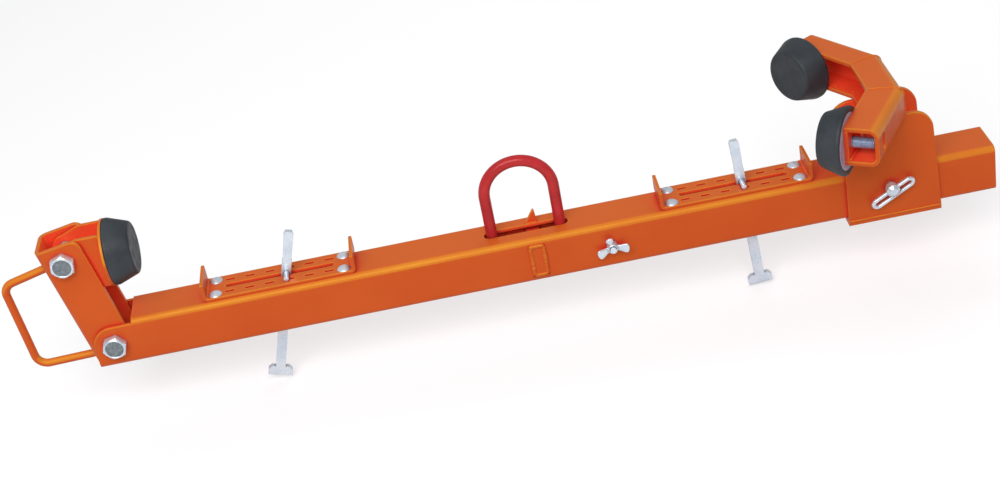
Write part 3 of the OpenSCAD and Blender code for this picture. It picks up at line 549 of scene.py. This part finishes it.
def long_bolt(node, body, turn):
    """Hexagon bolt across the beam, head to the front: head, plain shank and threaded end."""
    low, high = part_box(node)
    middle = (low + high) / 2
    seat = Vector((middle.x, low.y + HEAD_H, middle.z))
    front, rear = (0, -1, 0), (0, 1, 0)
    length = high.y - seat.y
    shank_end = length - BOLT_THREAD_LEN
    shank = [(-shank_end, BOLT_R, "round"), (0, BOLT_R, "round")]
    bolt = together(
        turned(seat, front, head_profile(), 72, BOLT_AF, turn),
        turned(seat, front, shank, 48),
        threaded(seat, rear, shank_end, length, BOLT_R, BOLT_PITCH),
    )
    make_piece(f"{node}_dressed", bolt, body, "zinc", (node,))
    face = turned(seat, front, dish_profile(), 72)
    make_piece(f"{node}_face", face, body, "zinc", finish=FORGED_FACE)


def pad_back(pad_name):
    """Middle of a pad's back, and the direction in which its face looks."""
    mount = MOUNTS[pad_name]
    axis = Vector(mount["axis"])
    return Vector(mount["pos_m"]) - axis * PAD_DEPTH, axis


def studded_disc(node, body, pad_name):
    """Steel disc in the back of a pad, with its threaded stud."""
    back, axis = pad_back(pad_name)
    disc = [
        (0, DISC_R - 0.6 * MM, "round"),
        (0.6 * MM, DISC_R, "round"),
        (DISC_T, DISC_R, "round"),
    ]
    stud = threaded(back, axis, -STUD_LEN, 0.5 * MM, STUD_R, STUD_PITCH)
    both = together(turned(back, axis, disc, 96), stud)
    make_piece(f"{node}_dressed", both, body, "zinc", (node,), finish=PLATED_STEEL)


def moulded_pad(node, body, pad_name):
    """Conical rubber pad with a recess for its disc, a lipped rim, a mould line and a dished face."""
    back, axis = pad_back(pad_name)
    slope = math.atan2(PAD_R - PAD_FACE_R, PAD_DEPTH - PAD_RIM)
    arc = math.pi / 2 - slope
    edge_r = PAD_FACE_R - PAD_EDGE * math.tan(arc / 2)
    recess = [
        (DISC_T, 0.5 * MM), (DISC_T, DISC_R), (0.4 * MM, DISC_R), (0, DISC_R + 0.6 * MM),
    ]
    rim = [
        (0, PAD_R - 1 * MM), (0.5 * MM, PAD_R - 0.3 * MM), (1.2 * MM, PAD_R), (4.2 * MM, PAD_R),
        (4.7 * MM, PAD_R - 0.3 * MM), (5.2 * MM, PAD_R - 0.5 * MM), (5.8 * MM, PAD_R - 0.5 * MM),
    ]
    edge = [
        (PAD_DEPTH - PAD_EDGE + PAD_EDGE * math.sin(a), edge_r + PAD_EDGE * math.cos(a))
        for a in [slope + arc * k / 8 for k in range(9)]
    ]
    face = [
        (PAD_DEPTH - 0.2 * MM, edge_r - 2 * MM),
        (PAD_DEPTH - 0.5 * MM, edge_r - 6 * MM),
        (PAD_DEPTH - 0.6 * MM, 6 * MM),
    ]
    profile = [(along, radius, "round") for along, radius in recess + rim + edge + face]
    make_piece(f"{node}_moulded", turned(back, axis, profile, 128), body, "rubber", (node,), 50)


def fuller(share):
    """A sine or cosine pushed outwards, for a section between an ellipse and a rectangle."""
    return math.copysign(abs(share) ** 0.7, share)


def wing(place, turn, reach, width):
    """Maker of one wing of the nut: a neck that swells towards a rounded tip."""
    root_share = WING_ROOT / reach
    sections = [(root_share, *WING_ROOT_SECTION)]
    sections += [section for section in WING_SECTIONS if section[0] > root_share + 0.02]
    radial = Vector((math.cos(turn), 0, math.sin(turn)))
    across = Vector((-math.sin(turn), 0, math.cos(turn)))
    along = math.cos(WING_RISE) * radial + Vector((0, -math.sin(WING_RISE), 0))
    out = along.cross(across)
    root = place + out * (WING_T / 2 + WING_LIFT)

    def maker(work):
        rings = []
        for share, wide, thick in sections:
            ring = []
            for angle in angles(28):
                side = fuller(math.cos(angle)) * wide * width / 2
                rise = fuller(math.sin(angle)) * thick * WING_T / 2
                ring.append(root + along * share * reach + across * side + out * rise)
            rings.append(ring)
        skin_rings(work, rings)
    return maker


def wing_nut():
    """Tapered hub with a bore, two wings and a short lobe, as cast in one piece."""
    _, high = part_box("wing_nut")
    axis = joint_place("wing_nut_turn")
    place = Vector((axis.x, high.y, axis.z))
    hub = [
        (HUB_SEAT, 7.0 * MM), (0.3 * HUB_H, 6.8 * MM), (0.8 * HUB_H, 6.1 * MM),
        (HUB_H - 0.5 * MM, 5.9 * MM), (HUB_H, 5.4 * MM), (HUB_H, HUB_BORE_R + 0.5 * MM),
        (HUB_H - 0.5 * MM, HUB_BORE_R), (HUB_SEAT, HUB_BORE_R),
    ]
    profile = [(along, radius, "round") for along, radius in hub]
    body = turned(place, (0, -1, 0), profile, 48, closed=True)
    wings = [wing(place, math.radians(turn), reach, width) for turn, reach, width in WINGS]
    make_piece("wing_nut_cast", together(body, *wings), "wing", "zinc", ("wing_nut",), 50)


# Weld beads

def resample(points, step):
    """Points at even steps along a chain."""
    made = [points[0]]
    for a, b in zip(points, points[1:]):
        count = max(1, round((b - a).length / step))
        made += [a.lerp(b, k / count) for k in range(1, count + 1)]
    return made


def bead(points, radius, closed):
    """Maker of a rippled weld bead along points, thinner towards open ends."""
    def maker(work):
        chain = points + ([points[0]] if closed else [])
        path = resample(chain, RIPPLE / STEPS_PER_RIPPLE)
        if closed:
            path = path[:-1]
        last = len(path) - 1
        rings = []
        for k, point in enumerate(path):
            before = path[k - 1] if (k or closed) else point
            after = path[(k + 1) % len(path)] if (k < last or closed) else point
            run = (after - before).normalized()
            side = run.orthogonal().normalized()
            up = run.cross(side)
            ripple = 0.12 * math.cos(FULL_TURN * k / STEPS_PER_RIPPLE)
            wave = 1 + ripple + 0.10 * math.sin(k / 9) + rng.uniform(-0.08, 0.08)
            taper = 1.0 if closed else min(1.0, 0.45 + 0.2 * min(k, last - k))
            reach = radius * wave * taper
            rings.append([
                point + reach * (math.cos(angle) * side + math.sin(angle) * up)
                for angle in angles(10)
            ])
        skin_rings(work, rings, closed)
    return maker


def add_weld(name, body, points, radius, closed=False):
    """Adds a painted weld bead along points, riding on body."""
    maker = bead(points, radius, closed)
    make_piece(name, maker, body, "orange_paint", smooth_angle=WELD_SMOOTH_ANGLE)


def weld_crossbar():
    """Beads round the crossbar's ends, on the tube's walls."""
    low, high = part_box("link_crossbar")
    tube_low, tube_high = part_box("beam_tube")
    outline = ((low.x, low.z), (high.x, low.z), (high.x, high.z), (low.x, high.z))
    for name, y in (("front", tube_low.y), ("rear", tube_high.y)):
        corners = [Vector((x, y, z)) for x, z in outline]
        add_weld(f"weld_crossbar_{name}", "beam", corners, BEAD_CROSSBAR, closed=True)


def weld_pointer():
    """Beads along the pointer's foot, in front and behind."""
    low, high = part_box("centre_pointer")
    for name, y in (("front", low.y), ("rear", high.y)):
        line = [Vector((low.x, y, low.z)), Vector((high.x, y, low.z))]
        add_weld(f"weld_pointer_{name}", "beam", line, BEAD_POINTER)


def on_arm(along_x, y, up):
    """A point given from the pivot in the leaning arm's own directions, in the shared frame."""
    pivot = joint_place("arm_pivot")
    turn = Matrix.Rotation(-ARM_LEAN, 4, "Y")
    return pivot + turn @ Vector((along_x, y, up))


def weld_handle():
    """Beads round the handle's two ends, on the arm's back."""
    radius = HANDLE_BAR / 2
    for name, up in (("upper", HANDLE_TOP), ("lower", HANDLE_LOW)):
        ring = [
            on_arm(-ARM_BACK, radius * math.cos(angle), up + radius * math.sin(angle))
            for angle in angles(20)
        ]
        add_weld(f"weld_handle_{name}", "arm", ring, BEAD_HANDLE, closed=True)


def leg_frame(side):
    """Where a leg's open side meets its mitre, at height zero, with the leg's run and inward side."""
    low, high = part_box("carrier_middle")
    half = high.y - (high.x - low.x) * math.tan(LEG_SWEEP / 2)
    run = Vector((-math.sin(LEG_SWEEP), side * math.cos(LEG_SWEEP), 0))
    inward = Vector((math.cos(LEG_SWEEP), side * math.sin(LEG_SWEEP), 0))
    return Vector((low.x, side * half, 0)), run, inward


def mitre_seam(side, steps=5):
    """Points over the outside of one mitre, from flange edge to flange edge."""
    low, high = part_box("carrier_middle")
    corner, _, _ = leg_frame(side)
    slope = side * math.tan(LEG_SWEEP / 2)
    bend = CARRIER_BEND
    flat = high.x - low.x - bend
    sweep = [math.pi / 2 * k / steps for k in range(steps + 1)]
    section = [(1 * MM, high.z)]
    section += [(flat + bend * math.sin(a), high.z - bend + bend * math.cos(a)) for a in sweep]
    section += [(flat + bend * math.cos(a), low.z + bend - bend * math.sin(a)) for a in sweep]
    section += [(1 * MM, low.z)]
    return [corner + Vector((across, slope * across, z)) for across, z in section]


def weld_carrier():
    """Seams of the two mitres, and the seams of the carrier and the floor onto the cheeks."""
    for name, side in SIDES:
        add_weld(f"weld_mitre_{name}", "slider", mitre_seam(side), BEAD_MITRE)
    low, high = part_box("carrier_middle")
    floor_low, floor_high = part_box("slider_floor")
    for name, side in SIDES:
        cheek_low, cheek_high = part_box(f"slider_{name}_cheek")
        outer = cheek_low.y if side < 0 else cheek_high.y
        top = [Vector((low.x, outer, low.z)), Vector((high.x - CARRIER_BEND / 2, outer, low.z))]
        add_weld(f"weld_carrier_{name}_cheek", "slider", top, BEAD_CHEEK)
        foot = [Vector((x, outer, floor_high.z)) for x in (floor_low.x, floor_high.x)]
        add_weld(f"weld_floor_{name}_cheek", "slider", foot, BEAD_FLOOR)


def weld_bracket():
    """Beads between the bracket's cheeks and the round plate, outside and inside."""
    plate_low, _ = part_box("round_plate")
    low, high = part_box("pad_bracket")
    for name, y in (("front", low.y), ("rear", high.y)):
        line = [Vector((plate_low.x, y, z)) for z in (low.z, high.z)]
        add_weld(f"weld_bracket_{name}", "swivel_pad", line, BEAD_BRACKET)
        inside = y + math.copysign(BRACKET_WALL, -y)
        heights = (high.z - BRACKET_INSIDE_REACH, high.z - 1 * MM)
        line = [Vector((plate_low.x, inside, z)) for z in heights]
        add_weld(f"weld_bracket_{name}_inside", "swivel_pad", line, BEAD_BRACKET_INSIDE)


def weld_pad_plates():
    """Beads inside the legs, where the pad plates meet the flanges."""
    low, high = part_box("carrier_middle")
    flanges = (
        ("top", high.z - CARRIER_WALL - 0.5 * MM),
        ("low", low.z + CARRIER_WALL + 0.5 * MM),
    )
    for name, side in SIDES:
        corner, run, inward = leg_frame(side)
        corner += inward * (PAD_PLATE_T + 0.5 * MM)
        for edge, z in flanges:
            reaches = (LEG_LEN - PAD_PLATE_LEN, LEG_LEN - 1.5 * MM)
            line = [corner + run * reach + Vector((0, 0, z)) for reach in reaches]
            add_weld(f"weld_pad_plate_{name}_{edge}", "slider", line, BEAD_PAD_PLATE)


def blob(place, radius):
    """Maker of a drop of weld spatter that sits on a level surface."""
    shares = ((-0.2, 0.85), (0.15, 1.0), (0.5, 0.85), (0.75, 0.5), (0.85, 0.2))
    profile = [(along * radius, reach * radius, "round") for along, reach in shares]
    return turned(place, (0, 0, 1), profile, 14)


def spatter_legs():
    """Drops of spatter along the open edge of each leg's lower flange."""
    low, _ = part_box("carrier_middle")
    for name, side in SIDES:
        corner, run, inward = leg_frame(side)
        corner.z = low.z + CARRIER_WALL
        drops = []
        along = 3 * MM
        while along < LEG_LEN - PAD_PLATE_LEN:
            radius = rng.uniform(0.9, 1.7) * MM
            depth = PAD_PLATE_T + rng.uniform(-2.5, 4.0) * MM
            drops.append(blob(corner + run * along + inward * depth, radius))
            along += radius + rng.uniform(1.0, 3.5) * MM
        make_piece(
            f"spatter_leg_{name}", together(*drops), "slider", "orange_paint",
            smooth_angle=WELD_SMOOTH_ANGLE,
        )


# Stage

def make_camera():
    """Camera at the photograph's angle, aimed at CAMERA_TARGET."""
    data = bpy.data.cameras.new("camera")
    data.sensor_fit = "HORIZONTAL"
    data.lens = data.sensor_width * FOCAL_PX / IMAGE_W
    camera = bpy.data.objects.new("camera", data)
    bpy.context.scene.collection.objects.link(camera)
    forward = Vector((0, math.cos(CAMERA_ELEVATION), -math.sin(CAMERA_ELEVATION)))
    level_right = Vector((1, 0, 0))
    level_up = Vector((0, math.sin(CAMERA_ELEVATION), math.cos(CAMERA_ELEVATION)))
    right = level_right * math.cos(CAMERA_ROLL) - level_up * math.sin(CAMERA_ROLL)
    up = level_right * math.sin(CAMERA_ROLL) + level_up * math.cos(CAMERA_ROLL)
    axes = Matrix((right, up, -forward)).transposed().to_4x4()
    camera.matrix_world = Matrix.Translation(CAMERA_TARGET - forward * CAMERA_DISTANCE) @ axes
    bpy.context.scene.camera = camera


def make_light(name, place, width, height, power, mirrored=True):
    """Area light aimed at CAMERA_TARGET. Where mirrored is False, reflections don't show it."""
    data = bpy.data.lights.new(name, "AREA")
    data.shape = "RECTANGLE"
    data.size = width
    data.size_y = height
    data.energy = power
    light = bpy.data.objects.new(name, data)
    bpy.context.scene.collection.objects.link(light)
    light.matrix_world = Matrix.Translation(place) @ axes_along(Vector(place) - CAMERA_TARGET)
    light.visible_glossy = mirrored


def make_world():
    """White for the camera, a softer light on the object and a dimmer sky in mirrors."""
    world = bpy.data.worlds.new("world")
    bpy.context.scene.world = world
    world.use_nodes = True
    tree = world.node_tree
    rays = add_node(tree, "ShaderNodeLightPath").outputs
    links = {"Value": rays["Is Camera Ray"]}
    seen = add_node(tree, "ShaderNodeMapRange", links, {"To Min": SKY_SOFT, "To Max": SKY_SEEN})
    links = {"Value": rays["Is Glossy Ray"], "To Min": seen.outputs["Result"]}
    strength = add_node(tree, "ShaderNodeMapRange", links, {"To Max": SKY_MIRRORED})
    background = tree.nodes["Background"]
    background.inputs["Color"].default_value = (1, 1, 1, 1)
    tree.links.new(strength.outputs["Result"], background.inputs["Strength"])


def floor_material():
    """Pale and matt, with a glow of its own for the camera and a weaker one in mirrors."""
    material = bpy.data.materials.new("floor")
    material.use_nodes = True
    tree = material.node_tree
    shader = tree.nodes["Principled BSDF"]
    shader.inputs["Base Color"].default_value = FLOOR_COLOUR
    shader.inputs["Roughness"].default_value = 0.9
    shader.inputs["Specular IOR Level"].default_value = 0.1
    shader.inputs["Emission Color"].default_value = (1, 1, 1, 1)
    rays = add_node(tree, "ShaderNodeLightPath").outputs
    links = {0: rays["Is Glossy Ray"]}
    mirrored = add_node(tree, "ShaderNodeMath", links, {1: FLOOR_GLOW_MIRRORED}, operation="MULTIPLY")
    links = {0: rays["Is Camera Ray"], 2: mirrored.outputs[0]}
    glow = add_node(tree, "ShaderNodeMath", links, {1: FLOOR_GLOW_SEEN}, operation="MULTIPLY_ADD")
    tree.links.new(glow.outputs[0], shader.inputs["Emission Strength"])
    return material


def make_floor():
    """Level floor just under the keys' feet. It keeps the object's shadow."""
    z = CAD_BOX[0].z - FLOOR_GAP
    corners = [(FLOOR_REACH * x, FLOOR_REACH * y, z) for x, y in ((-1, -1), (1, -1), (1, 1), (-1, 1))]
    mesh = bpy.data.meshes.new("floor")
    mesh.from_pydata(corners, [], [(0, 1, 2, 3)])
    mesh.materials.append(floor_material())
    floor = bpy.data.objects.new("floor", mesh)
    bpy.context.scene.collection.objects.link(floor)


make_camera()
bpy.context.scene.view_settings.view_transform = "Standard"
make_world()
make_floor()
make_light("key", (-0.5, -1.9, 1.9), width=2.4, height=1.5, power=58)
make_light("back", (0.6, 1.8, 1.6), width=2.0, height=1.2, power=12, mirrored=False)

dress_frame()
long_bolt("pivot_bolt", "beam", PIVOT_HEAD_TURN)
long_bolt("swivel_bolt", "arm", SWIVEL_HEAD_TURN)
for side, body in (("left", "swivel_pad"), ("front", "slider"), ("rear", "slider")):
    studded_disc(f"pad_disc_{side}", body, f"pad_face_{side}")
    moulded_pad(f"pad_rubber_{side}", body, f"pad_face_{side}")
wing_nut()
weld_crossbar()
weld_pointer()
weld_handle()
weld_carrier()
weld_bracket()
weld_pad_plates()
spatter_legs()
